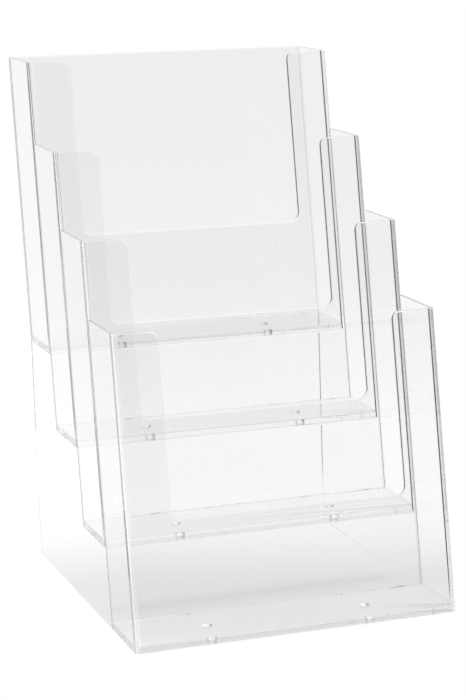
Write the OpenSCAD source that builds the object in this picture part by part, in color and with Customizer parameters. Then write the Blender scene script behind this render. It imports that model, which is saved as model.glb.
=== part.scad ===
// Four-pocket countertop brochure holder in clear moulded styrene.
// Units are millimetres. +Z is up and the pockets open towards -Y and upwards.
// The origin is on the ground, under the middle of the holder's outer box.
// Pockets are numbered from the rear one (1, the highest) to the front one (4).

/* [Holder] */
// Outer width of the pockets and of the stand
holder_width = 165; // [130:1:240]
// How far the pockets lean back from upright, in degrees
lean = 11.2; // [6:0.1:14]
// Thickness of the clear walls
wall = 1.8; // [1.6:0.1:3]
// Clearance left at each bonded seam
seam = 0.06; // [0.02:0.01:0.1]

/* [Pockets] */
// Distance from one front wall to the next, square to the walls
pocket_pitch = 38; // [32:0.1:50]
// Rise from one pocket floor to the next
floor_step = 38.4; // [30:0.1:45]
// Heights of the four pockets, from the rear one to the front one
pocket_heights = [146.9, 144.5, 145.1, 146.5]; // [130:0.1:170]
// Outer radius of the upright front corners
corner_radius = 2.6; // [0.8:0.1:5]
// Inner radius of the upright front corners
inner_corner_radius = 1.8; // [0.3:0.1:2]

/* [Front opening] */
// Width of the front flange that stays at each side of the opening
flange_width = 22.9; // [14:0.1:35]
// Height of the front lip above the underside of the floor
lip_height = 58.8; // [30:0.1:80]
// Radius of the rounded top corner of each flange
flange_corner_radius = 4; // [2:0.1:8]
// Radius at the bottom corners of the opening
opening_radius = 4.6; // [2:0.1:8]

/* [Floors] */
// Thickness of the pocket floors
floor_thickness = 3; // [2.4:0.1:5]
// Diameter of the two holes through each floor
floor_hole_diameter = 5; // [3:0.1:6]
// Distance between the two holes of a floor
floor_hole_spacing = 82; // [50:1:110]

/* [Stand] */
// How far the rear foot of the stand is behind the line of the rear panel
foot_setback = 15.8; // [5:0.1:20]
// Radius at the rear foot of each stand panel
foot_radius = 1; // [0.5:0.1:4]

/* [Hidden] */

$fn = 64;
clear_styrene = [0.86, 0.89, 0.91, 0.45];
floor_tint = [0.72, 0.76, 0.79, 0.6];
pockets = 4;
pitch_y = pocket_pitch / cos(lean);
wall_y = wall / cos(lean);
inner_width = holder_width - 2 * wall;
opening_half_width = holder_width / 2 - flange_width;
overall_height = pocket_top(1);
front_edge_y = -pockets * pitch_y;
rear_edge_y = overall_height * tan(lean);
centring_y = -(front_edge_y + rear_edge_y) / 2;
trim = 2 * overall_height;

// Height of the underside of a pocket's floor
function floor_z(pocket) = (pockets - pocket) * floor_step;
// Height of the top edge of a pocket
function pocket_top(pocket) = floor_z(pocket) + pocket_heights[pocket - 1];
// Y of the outer face of a pocket's front wall at a height; 0 is the rear panel's rear face
function face_y(pocket, z) = centring_y - pocket * pitch_y + z * tan(lean);
// Top of the stand under a pocket's side walls; the front pocket reaches the ground
function stand_top(pocket) = pocket == pockets ? 0 : floor_z(pocket) - seam;

// A rectangle centred in X and standing on Y = 0, with its two corners on Y = 0 rounded
module rounded_front(width, depth, radius) {
    translate([-width / 2, radius])
        square([width, depth - radius]);
    translate([radius - width / 2, 0])
        square([width - 2 * radius, depth]);
    for (side = [-1, 1])
        translate([side * (width / 2 - radius), radius])
            circle(r = radius);
}

// Cuts the children to the heights between bottom and top
module between(bottom, top) {
    intersection() {
        children();
        translate([-holder_width, -trim, bottom])
            cube([2 * holder_width, 2 * trim, top - bottom]);
    }
}

// Stands a plan outline up along the lean; the outline's Y = 0 is the rear face of the rear panel
module leaning(bottom, top) {
    between(bottom, top)
        translate([0, centring_y, 0])
            rotate([-lean, 0, 0])
                translate([0, 0, -trim])
                    linear_extrude(2 * trim)
                        children();
}

// The gap between the flanges, seen from the front, with its rounded corners
module opening_outline(bottom, top) {
    translate([-opening_half_width, bottom + opening_radius])
        square([2 * opening_half_width, top - bottom]);
    translate([opening_radius - opening_half_width, bottom])
        square([2 * (opening_half_width - opening_radius), top - bottom]);
    for (side = [-1, 1]) {
        translate([side * (opening_half_width - opening_radius), bottom + opening_radius])
            circle(r = opening_radius);
        difference() {
            translate([side * opening_half_width - flange_corner_radius, top - flange_corner_radius])
                square(2 * flange_corner_radius);
            translate([side * (opening_half_width + flange_corner_radius), top - flange_corner_radius])
                circle(r = flange_corner_radius);
        }
    }
}

// Front wall with its flanges and lip, and the two side walls, as one folded shell
module pocket_shell(pocket) {
    depth = pocket_pitch - (pocket == 1 ? 0 : seam);
    difference() {
        leaning(floor_z(pocket), pocket_top(pocket))
            translate([0, -pocket * pocket_pitch])
                difference() {
                    rounded_front(holder_width, depth, corner_radius);
                    translate([0, wall])
                        rounded_front(inner_width, depth, inner_corner_radius);
                }
        translate([0, trim, 0])
            rotate([90, 0, 0])
                linear_extrude(2 * trim)
                    opening_outline(floor_z(pocket) + lip_height, pocket_top(pocket));
    }
}

// A flat panel that fits between the side walls; plan_y is its front face in the leaning plan
module leaning_panel(plan_y, bottom, top) {
    leaning(bottom, top)
        translate([seam - inner_width / 2, plan_y])
            square([inner_width - 2 * seam, wall]);
}

// Floor plate that fits inside a shell and is bonded on all four edges
module pocket_floor(pocket) {
    depth = pocket_pitch - wall - 2 * seam - (pocket == 1 ? wall : 0);
    bottom = floor_z(pocket);
    hole_y = (face_y(pocket, bottom) + face_y(pocket - 1, bottom)) / 2;
    difference() {
        leaning(bottom, bottom + floor_thickness)
            translate([0, wall + seam - pocket * pocket_pitch])
                rounded_front(inner_width - 2 * seam, depth, inner_corner_radius);
        for (side = [-1, 1])
            translate([side * floor_hole_spacing / 2, hole_y, bottom - 1])
                cylinder(d = floor_hole_diameter, h = floor_thickness + 2);
    }
}

// Closes the gap behind a pocket, from its floor up to the underside of the pocket behind
module riser(pocket) {
    leaning_panel(-(pocket - 1) * pocket_pitch, floor_z(pocket), stand_top(pocket - 1));
}

// Side view of a stand panel: one step under each pocket, and a sloping rear edge
module stand_outline() {
    steps = [for (pocket = [pockets - 1:-1:1], level = [pocket + 1, pocket])
        [face_y(pocket, stand_top(level)) + seam, stand_top(level)]];
    rear_top = [face_y(0, stand_top(1)), stand_top(1)];
    rear_foot = [centring_y + foot_setback, 0];
    foot_centre = [rear_foot.x - foot_radius, foot_radius];
    difference() {
        polygon([each steps, rear_top, rear_foot]);
        translate(foot_centre)
            difference() {
                translate([0, -2 * foot_radius])
                    square([2 * foot_radius, 2 * foot_radius]);
                circle(r = foot_radius);
            }
    }
}

// Upright panel that carries the three raised pockets at one side
module stand_panel(side) {
    translate([side * (holder_width - wall) / 2 - wall / 2, 0, 0])
        rotate([90, 0, 90])
            linear_extrude(wall)
                stand_outline();
}

module rear_panel() {
    color(clear_styrene)
        leaning_panel(-wall, floor_z(1), pocket_top(1));
}

module rear_pocket_shell() { color(clear_styrene) pocket_shell(1); }
module upper_pocket_shell() { color(clear_styrene) pocket_shell(2); }
module lower_pocket_shell() { color(clear_styrene) pocket_shell(3); }
module front_pocket_shell() { color(clear_styrene) pocket_shell(4); }

module rear_pocket_floor() { color(floor_tint) pocket_floor(1); }
module upper_pocket_floor() { color(floor_tint) pocket_floor(2); }
module lower_pocket_floor() { color(floor_tint) pocket_floor(3); }
module front_pocket_floor() { color(floor_tint) pocket_floor(4); }

module upper_riser() { color(clear_styrene) riser(2); }
module lower_riser() { color(clear_styrene) riser(3); }
module front_riser() { color(clear_styrene) riser(4); }

module left_stand_panel() { color(clear_styrene) stand_panel(-1); }
module right_stand_panel() { color(clear_styrene) stand_panel(1); }

rear_panel();
rear_pocket_shell();
upper_pocket_shell();
lower_pocket_shell();
front_pocket_shell();
rear_pocket_floor();
upper_pocket_floor();
lower_pocket_floor();
front_pocket_floor();
upper_riser();
lower_riser();
front_riser();
left_stand_panel();
right_stand_panel();
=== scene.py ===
"""Four-pocket clear brochure rack: moulded shells, looks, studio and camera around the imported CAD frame."""

import math

import bmesh
import bpy
from mathutils import Matrix, Vector


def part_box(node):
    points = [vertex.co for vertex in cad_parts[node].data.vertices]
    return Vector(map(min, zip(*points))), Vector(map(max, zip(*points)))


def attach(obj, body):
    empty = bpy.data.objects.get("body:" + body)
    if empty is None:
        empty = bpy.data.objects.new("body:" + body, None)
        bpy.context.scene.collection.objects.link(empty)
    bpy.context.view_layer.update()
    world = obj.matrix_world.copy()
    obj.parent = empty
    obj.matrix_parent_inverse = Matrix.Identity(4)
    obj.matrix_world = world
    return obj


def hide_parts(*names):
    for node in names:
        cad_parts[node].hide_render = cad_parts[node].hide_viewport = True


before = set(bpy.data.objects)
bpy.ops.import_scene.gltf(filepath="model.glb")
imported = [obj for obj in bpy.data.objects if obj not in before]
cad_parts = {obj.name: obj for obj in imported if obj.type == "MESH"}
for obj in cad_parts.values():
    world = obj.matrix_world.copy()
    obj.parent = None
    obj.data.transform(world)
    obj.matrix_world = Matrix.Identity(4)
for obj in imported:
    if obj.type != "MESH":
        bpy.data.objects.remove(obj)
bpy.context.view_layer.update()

MM = 0.001

# Camera: where it stands, which way it looks, and its lens
CAMERA_PLACE = Vector((-0.3617, -1.0205, 0.3516))
CAMERA_AZIMUTH = math.radians(-19.731)
CAMERA_ELEVATION = math.radians(12.194)
CAMERA_ROLL = math.radians(-0.678)
LENS_MM = 111.6
SENSOR_MM = 36.0

# Pocket shells: the sizes that the boxes of the nodes don't give
POCKETS = ("rear", "upper", "lower", "front")
CORNER_RADIUS = 2.6 * MM
INNER_CORNER_RADIUS = 1.8 * MM
FLANGE_WIDTH = 22.9 * MM
FLANGE_CORNER_RADIUS = 4.0 * MM
LIP_HEIGHT = 58.8 * MM
OPENING_RADIUS = 4.6 * MM
ARC_STEPS = 10

# Soft edges: nearly full round along the front rims of the shells, smaller elsewhere
RIM_RADIUS = 0.85 * MM
SIDE_TOP_RADIUS = 0.15 * MM
SEAM_EDGE_RADIUS = 0.2 * MM
FLOOR_EDGE_RADIUS = 0.5 * MM
PANEL_EDGE_RADIUS = 0.5 * MM
SHARP_ANGLE = math.radians(35)
WELD_DISTANCE = 0.002 * MM
FLAT_ANGLE = math.radians(0.5)
BEVEL_SEGMENTS = 5
FLAT_FACE_WEIGHT = 100

# Clear styrene
STYRENE_IOR = 1.59
HAZE = 2.0
WHITE = (1.0, 1.0, 1.0, 1.0)
SHADOW_TINT = (0.9, 0.9, 0.9, 1.0)
HAZE_TINT = (0.5, 0.5, 0.5, 1.0)
WALL_ROUGHNESS = 0.0
FLOOR_ROUGHNESS = 0.01
SMEAR_ROUGHNESS = 0.01
SMEAR_SCALE = 60.0
SMEAR_DETAIL = 6.0
SMEAR_RANGE = (0.4, 0.75)
WAVE_SCALE = 35.0
WAVE_DETAIL = 2.0
WAVE_STRENGTH = 0.03
WAVE_HEIGHT = 0.4 * MM
LIGHT_BOUNCES = 512

# Studio, as the plastic sees it: brightness around the horizon, by degrees to the right of the camera's view
AROUND_LEVELS = [(-180, 0.36), (-115, 0.36), (-100, 0.12), (-58, 0.12), (-46, 1.0), (-20, 0.95), (-5, 0.78),
                 (14, 0.76), (26, 0.2), (50, 0.15), (115, 0.15), (125, 0.36), (180, 0.36)]
# Brightness of the light above the horizon, and the heights at which it begins and fades (1 is straight up)
UPPER_LEVEL = 1.1
UPPER_EDGE = (0.3, 0.4)
TOP_LEVEL = 0.85
TOP_EDGE = (0.65, 0.85)
# Floor: its size, how far it lies under the rack, and its brightness by metres behind the rack. The floor
# glows instead of being lit, so these levels are painted light and shade, such as the darker floor under the
# rack
FLOOR_HALF = 6.0
FLOOR_DROP = 0.2 * MM
FLOOR_LEVELS = [(-1.2, 0.8), (-0.5, 0.85), (-0.35, 1.2), (-0.2, 1.3), (-0.13, 1.0), (-0.1, 0.81),
                (-0.02, 0.83), (0.06, 1.01), (0.12, 1.05), (0.3, 1.05), (0.6, 0.99), (0.9, 0.95), (1.8, 0.92),
                (4.4, 0.91)]
# Those levels hold for a middle strip, which widens with distance; on its right a nearly black patch of
# painted shade is put into the floor's glow, standing in for dark studio surroundings, and on its left a
# slightly brighter painted level
MIDDLE_HALF = 0.15
MIDDLE_SPREAD = 0.3
MIDDLE_BLUR = 0.06
LEFT_LEVEL = 1.03
PAINTED_DARK_PATCH_LEVEL = 0.05
# Painted soft shadow on the floor behind the foot of the front pocket, not cast by the rack
SHADOW_PLACE = -38.0 * MM
SHADOW_REACH = 13.0 * MM
SHADOW_DEPTH = 0.07
SHADOW_FULL_WIDTH = 0.8


def new_material(name):
    material = bpy.data.materials.new(name)
    material.use_nodes = True
    material.node_tree.nodes.clear()
    return material


class Nodes:
    """Adds shader nodes to a tree and joins their inputs, by position or by name."""

    def __init__(self, tree):
        self.tree = tree

    def add(self, kind, *values, settings=None, **named):
        node = self.tree.nodes.new(kind)
        for key, value in (settings or {}).items():
            setattr(node, key, value)
        inputs = list(zip(node.inputs, values))
        inputs += [(node.inputs[name.replace("_", " ")], value) for name, value in named.items()]
        for socket, value in inputs:
            if isinstance(value, bpy.types.NodeSocket):
                self.tree.links.new(value, socket)
            else:
                socket.default_value = value
        return node

    def maths(self, operation, one, other=0.0):
        return self.add("ShaderNodeMath", one, other, settings={"operation": operation}).outputs[0]

    def vector_maths(self, operation, one, other=(0.0, 0.0, 0.0)):
        node = self.add("ShaderNodeVectorMath", one, other, settings={"operation": operation})
        return node.outputs["Value" if operation == "DOT_PRODUCT" else "Vector"]

    def blend(self, part, one, other):
        """One value where part is 0, the other where part is 1."""
        return self.add("ShaderNodeMapRange", Value=part, To_Min=one, To_Max=other).outputs["Result"]

    def step(self, value, start, end):
        """A smooth step from 0 to 1 as value goes from start to end."""
        node = self.add("ShaderNodeMapRange", settings={"interpolation_type": "SMOOTHSTEP"}, Value=value,
                        From_Min=start, From_Max=end)
        return node.outputs["Result"]


def clear_styrene(name, roughness):
    """Water-clear moulded plastic, faintly wavy and lightly smeared, a little greyer where it is thick."""
    material = new_material(name)
    nodes = Nodes(material.node_tree)
    place = nodes.add("ShaderNodeTexCoord").outputs["Object"]
    waves = nodes.add("ShaderNodeTexNoise", Vector=place, Scale=WAVE_SCALE, Detail=WAVE_DETAIL).outputs["Fac"]
    bump = nodes.add("ShaderNodeBump", Height=waves, Strength=WAVE_STRENGTH, Distance=WAVE_HEIGHT)
    smears = nodes.add("ShaderNodeTexNoise", Vector=place, Scale=SMEAR_SCALE, Detail=SMEAR_DETAIL)
    smeared = nodes.add("ShaderNodeMapRange", Value=smears.outputs["Fac"],
                        From_Min=SMEAR_RANGE[0], From_Max=SMEAR_RANGE[1],
                        To_Min=roughness, To_Max=roughness + SMEAR_ROUGHNESS)
    glass = nodes.add("ShaderNodeBsdfGlass", Color=WHITE, IOR=STYRENE_IOR, Normal=bump.outputs["Normal"],
                      Roughness=smeared.outputs["Result"])
    shadow = nodes.add("ShaderNodeBsdfTransparent", Color=SHADOW_TINT)
    shadow_ray = nodes.add("ShaderNodeLightPath").outputs["Is Shadow Ray"]
    surface = nodes.add("ShaderNodeMixShader", shadow_ray, glass.outputs[0], shadow.outputs[0])
    haze = nodes.add("ShaderNodeVolumeAbsorption", Color=HAZE_TINT, Density=HAZE)
    nodes.add("ShaderNodeOutputMaterial", Surface=surface.outputs[0], Volume=haze.outputs[0])
    return material


def soften_edges(obj, radius, by_weight=False):
    """Rounds the sharp edges, as a mould leaves them."""
    bevel = obj.modifiers.new("soft_edges", "BEVEL")
    bevel.width = radius
    bevel.segments = BEVEL_SEGMENTS
    bevel.limit_method = "WEIGHT" if by_weight else "ANGLE"
    bevel.angle_limit = SHARP_ANGLE
    flatten = obj.modifiers.new("keep_flat_faces_flat", "WEIGHTED_NORMAL")
    flatten.mode = "FACE_AREA"
    flatten.weight = FLAT_FACE_WEIGHT
    for polygon in obj.data.polygons:
        polygon.use_smooth = True


def join_flat_faces(obj):
    """Joins the loose faces of a CAD node and the triangles of each flat face, ready for soft edges."""
    weld = obj.modifiers.new("join_faces", "WELD")
    weld.merge_threshold = WELD_DISTANCE
    dissolve = obj.modifiers.new("join_flat_faces", "DECIMATE")
    dissolve.decimate_type = "DISSOLVE"
    dissolve.angle_limit = FLAT_ANGLE


def wall_and_slope():
    """Wall thickness, and how far the pockets lean back for each unit of height, from the flat panels."""
    side_low, side_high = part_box("left_stand_panel")
    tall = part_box("rear_panel")[1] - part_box("rear_panel")[0]
    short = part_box("front_riser")[1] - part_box("front_riser")[0]
    return side_high.x - side_low.x, (tall.y - short.y) / (tall.z - short.z)


def arc(centre, radius, start, end):
    """Points on an arc from the start angle to the end angle, in degrees."""
    turns = [math.radians(start + (end - start) * step / ARC_STEPS) for step in range(ARC_STEPS + 1)]
    return [(centre[0] + radius * math.cos(turn), centre[1] + radius * math.sin(turn)) for turn in turns]


def opening_path(half_width, lip, top):
    """Upper edge of a front wall in (x, z), from its right end to its left end."""
    flange = half_width + FLANGE_CORNER_RADIUS
    corner = half_width - OPENING_RADIUS
    return (arc((flange, top - FLANGE_CORNER_RADIUS), FLANGE_CORNER_RADIUS, 90, 180)
            + arc((corner, lip + OPENING_RADIUS), OPENING_RADIUS, 0, -90)
            + arc((-corner, lip + OPENING_RADIUS), OPENING_RADIUS, -90, -180)
            + arc((-flange, top - FLANGE_CORNER_RADIUS), FLANGE_CORNER_RADIUS, 0, 90))


def side_path(half_width, depth, inset, radius):
    """Plan of the left side wall and its front corner in (x, depth), from the rear end to the front wall."""
    rear_end = (inset - half_width, depth)
    return [rear_end] + arc((rear_end[0] + radius, inset + radius), radius, 180, 270)


def add_walls(mesh_data, columns):
    """Side wall and corner faces between neighbouring columns of four corners, and the rear end."""
    mesh_data.faces.new(columns[0])
    for one, other in zip(columns, columns[1:]):
        for edge in range(4):
            mesh_data.faces.new((one[edge], one[edge - 1], other[edge - 1], other[edge]))


def add_front(mesh_data, left_end, right_end, outer_edge, inner_edge):
    """Front wall faces between the two corners: the outer and inner face, the rim and the foot."""
    for step in range(len(outer_edge) - 1):
        mesh_data.faces.new((outer_edge[step], outer_edge[step + 1], inner_edge[step + 1], inner_edge[step]))
    mesh_data.faces.new([left_end[0], right_end[0]] + outer_edge)
    mesh_data.faces.new([left_end[1], right_end[1]] + inner_edge)
    mesh_data.faces.new((left_end[0], left_end[1], right_end[1], right_end[0]))


def weigh_edges(mesh_data, rim, side_tops):
    """Gives the edges along the rim the full radius, and the other sharp edges a smaller one."""
    weight = mesh_data.edges.layers.float.new("bevel_weight_edge")
    for edge in mesh_data.edges:
        if edge.calc_face_angle() <= SHARP_ANGLE:
            continue
        if rim.issuperset(edge.verts):
            edge[weight] = 1.0
        elif side_tops.issuperset(edge.verts):
            edge[weight] = SIDE_TOP_RADIUS / RIM_RADIUS
        else:
            edge[weight] = SEAM_EDGE_RADIUS / RIM_RADIUS


def place_moulding(mesh_data, pocket):
    """Turns the mesh data into the pocket's moulding, which stands for the pocket's shell."""
    mesh = bpy.data.meshes.new(f"{pocket}_pocket_moulding")
    mesh_data.to_mesh(mesh)
    mesh_data.free()
    piece = bpy.data.objects.new(mesh.name, mesh)
    bpy.context.collection.objects.link(piece)
    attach(piece, "root")
    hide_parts(f"{pocket}_pocket_shell")
    return piece


def pocket_moulding(pocket):
    """A pocket's front wall and side walls as one smooth moulding, in the place of the pocket's shell."""
    low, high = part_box(f"{pocket}_pocket_shell")
    wall, slope = wall_and_slope()
    stretch = math.hypot(1.0, slope)
    rise = high.z - low.z
    depth = (high.y - low.y - rise * slope) / stretch
    mesh_data = bmesh.new()

    def corner(x, inward, z):
        return mesh_data.verts.new((x, low.y + inward * stretch + z * slope, low.z + z))

    def column(outer, inner):
        """The outer and inner corners of the wall at one place in the plan, at the bottom and at the top."""
        return [corner(*outer, 0.0), corner(*inner, 0.0), corner(*inner, rise), corner(*outer, rise)]

    outer_left = side_path(high.x, depth, 0.0, CORNER_RADIUS)
    inner_left = side_path(high.x, depth, wall, INNER_CORNER_RADIUS)
    left = [column(outer, inner) for outer, inner in zip(outer_left, inner_left)]
    right = [column((-outer[0], outer[1]), (-inner[0], inner[1]))
             for outer, inner in zip(outer_left, inner_left)]
    edge_path = opening_path(high.x - FLANGE_WIDTH, LIP_HEIGHT, rise)
    outer_edge = [right[-1][3]] + [corner(x, 0.0, z) for x, z in edge_path] + [left[-1][3]]
    inner_edge = [right[-1][2]] + [corner(x, wall, z) for x, z in edge_path] + [left[-1][2]]
    add_walls(mesh_data, left)
    add_walls(mesh_data, right)
    add_front(mesh_data, left[-1], right[-1], outer_edge, inner_edge)
    bmesh.ops.recalc_face_normals(mesh_data, faces=mesh_data.faces)
    side_tops = {columns[edge] for columns in left + right for edge in (2, 3)}
    weigh_edges(mesh_data, set(outer_edge) | set(inner_edge), side_tops)
    return place_moulding(mesh_data, pocket)


def build_rack():
    walls = clear_styrene("clear_styrene_wall", WALL_ROUGHNESS)
    floors = clear_styrene("clear_styrene_floor", FLOOR_ROUGHNESS)
    for name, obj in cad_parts.items():
        is_floor = name.endswith("floor")
        obj.data.materials.clear()
        obj.data.materials.append(floors if is_floor else walls)
        join_flat_faces(obj)
        soften_edges(obj, FLOOR_EDGE_RADIUS if is_floor else PANEL_EDGE_RADIUS)
    for pocket in POCKETS:
        piece = pocket_moulding(pocket)
        piece.data.materials.append(walls)
        soften_edges(piece, RIM_RADIUS, by_weight=True)


def camera_axes(nodes):
    """The camera's right and forward directions, level with the ground, so the studio turns with it."""
    right = nodes.add("ShaderNodeVectorTransform", (1.0, 0.0, 0.0),
                      settings={"vector_type": "VECTOR", "convert_from": "CAMERA", "convert_to": "WORLD"})
    level = nodes.vector_maths("MULTIPLY", right.outputs[0], (1.0, 1.0, 0.0))
    level = nodes.vector_maths("NORMALIZE", level)
    return level, nodes.vector_maths("CROSS_PRODUCT", (0.0, 0.0, 1.0), level)


def levels(nodes, value, stops):
    """Brightness along value: stops are (value, level) pairs in rising order, joined by straight lines."""
    first = stops[0][0]
    span = stops[-1][0] - first
    node = nodes.add("ShaderNodeValToRGB", nodes.maths("DIVIDE", nodes.maths("SUBTRACT", value, first), span))
    elements = node.color_ramp.elements
    while len(elements) < len(stops):
        elements.new(0.5)
    for element, (place, level) in zip(elements, stops):
        element.position = (place - first) / span
        element.color = (level, level, level, 1.0)
    return node.outputs["Color"]


def seen_as_white(nodes, level):
    """Full white for the camera, which makes a cut-out background, and the level for all other rays."""
    return nodes.blend(nodes.add("ShaderNodeLightPath").outputs["Is Camera Ray"], level, 1.0)


def studio_world():
    world = bpy.data.worlds.new("studio")
    bpy.context.scene.world = world
    world.use_nodes = True
    world.node_tree.nodes.clear()
    nodes = Nodes(world.node_tree)
    direction = nodes.add("ShaderNodeTexCoord").outputs["Generated"]
    right, ahead = camera_axes(nodes)
    aside = nodes.vector_maths("DOT_PRODUCT", direction, right)
    depth = nodes.vector_maths("DOT_PRODUCT", direction, ahead)
    height = nodes.add("ShaderNodeSeparateXYZ", Vector=direction).outputs["Z"]
    turn = nodes.maths("DEGREES", nodes.maths("ARCTAN2", aside, depth))
    around = levels(nodes, turn, AROUND_LEVELS)
    upper = nodes.blend(nodes.step(height, *TOP_EDGE), UPPER_LEVEL, TOP_LEVEL)
    level = nodes.blend(nodes.step(height, *UPPER_EDGE), around, upper)
    light = nodes.add("ShaderNodeBackground", Color=WHITE, Strength=seen_as_white(nodes, level))
    nodes.add("ShaderNodeOutputWorld", Surface=light.outputs[0])


def outside_middle(nodes, depth, aside):
    """How far a point lies outside the middle strip of floor, which widens behind the rack, from 0 to 1."""
    spread = nodes.maths("MULTIPLY", nodes.maths("MAXIMUM", depth, 0.0), MIDDLE_SPREAD)
    edge = nodes.maths("ADD", spread, MIDDLE_HALF)
    return nodes.step(nodes.maths("SUBTRACT", aside, edge), 0.0, MIDDLE_BLUR)


def rack_shadow(nodes, place):
    """Strength of the painted soft shadow behind the foot of the front pocket."""
    axes = nodes.add("ShaderNodeSeparateXYZ", Vector=place).outputs
    off_line = nodes.maths("ABSOLUTE", nodes.maths("SUBTRACT", axes["Y"], SHADOW_PLACE))
    off_middle = nodes.maths("ABSOLUTE", axes["X"])
    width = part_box("front_pocket_shell")[1].x
    along = nodes.maths("SUBTRACT", 1.0, nodes.step(off_middle, SHADOW_FULL_WIDTH * width, width))
    across = nodes.maths("SUBTRACT", 1.0, nodes.step(off_line, 0.0, SHADOW_REACH))
    return nodes.maths("MULTIPLY", nodes.maths("MULTIPLY", along, across), SHADOW_DEPTH)


def studio_floor():
    mesh = bpy.data.meshes.new("studio_floor")
    corners = [(x * FLOOR_HALF, y * FLOOR_HALF, -FLOOR_DROP) for x, y in ((-1, -1), (1, -1), (1, 1), (-1, 1))]
    mesh.from_pydata(corners, [], [(0, 1, 2, 3)])
    floor = bpy.data.objects.new("studio_floor", mesh)
    bpy.context.collection.objects.link(floor)
    material = new_material("studio_floor")
    nodes = Nodes(material.node_tree)
    place = nodes.add("ShaderNodeNewGeometry").outputs["Position"]
    right, ahead = camera_axes(nodes)
    aside = nodes.vector_maths("DOT_PRODUCT", place, right)
    depth = nodes.vector_maths("DOT_PRODUCT", place, ahead)
    open_floor = nodes.maths("SUBTRACT", levels(nodes, depth, FLOOR_LEVELS), rack_shadow(nodes, place))
    on_left = outside_middle(nodes, depth, nodes.maths("MULTIPLY", aside, -1.0))
    in_painted_dark_patch = outside_middle(nodes, depth, aside)
    # Painted shade: a nearly black patch on the right of the middle strip, and a little painted brightening
    # on its left
    level = nodes.blend(in_painted_dark_patch, nodes.blend(on_left, open_floor, LEFT_LEVEL), PAINTED_DARK_PATCH_LEVEL)
    # The floor glows with painted light and shade instead of being lit by lamps; the camera itself sees plain
    # white
    glow = nodes.add("ShaderNodeEmission", Color=WHITE, Strength=seen_as_white(nodes, level))
    nodes.add("ShaderNodeOutputMaterial", Surface=glow.outputs[0])
    mesh.materials.append(material)


def studio_camera():
    forward = Vector((-math.sin(CAMERA_AZIMUTH) * math.cos(CAMERA_ELEVATION),
                      math.cos(CAMERA_AZIMUTH) * math.cos(CAMERA_ELEVATION),
                      -math.sin(CAMERA_ELEVATION)))
    level = Vector((math.cos(CAMERA_AZIMUTH), math.sin(CAMERA_AZIMUTH), 0.0))
    above = level.cross(forward)
    right = math.cos(CAMERA_ROLL) * level + math.sin(CAMERA_ROLL) * above
    up = -math.sin(CAMERA_ROLL) * level + math.cos(CAMERA_ROLL) * above
    data = bpy.data.cameras.new("camera")
    data.lens = LENS_MM
    data.sensor_width = SENSOR_MM
    camera = bpy.data.objects.new("camera", data)
    bpy.context.collection.objects.link(camera)
    turn = Matrix((right, up, -forward)).transposed().to_4x4()
    camera.matrix_world = Matrix.Translation(CAMERA_PLACE) @ turn
    bpy.context.scene.camera = camera


def light_paths():
    scene = bpy.context.scene
    scene.view_settings.view_transform = "Standard"
    scene.cycles.max_bounces = LIGHT_BOUNCES
    scene.cycles.transmission_bounces = LIGHT_BOUNCES
    scene.cycles.glossy_bounces = LIGHT_BOUNCES
    scene.cycles.transparent_max_bounces = LIGHT_BOUNCES


build_rack()
studio_world()
studio_floor()
studio_camera()
light_paths()
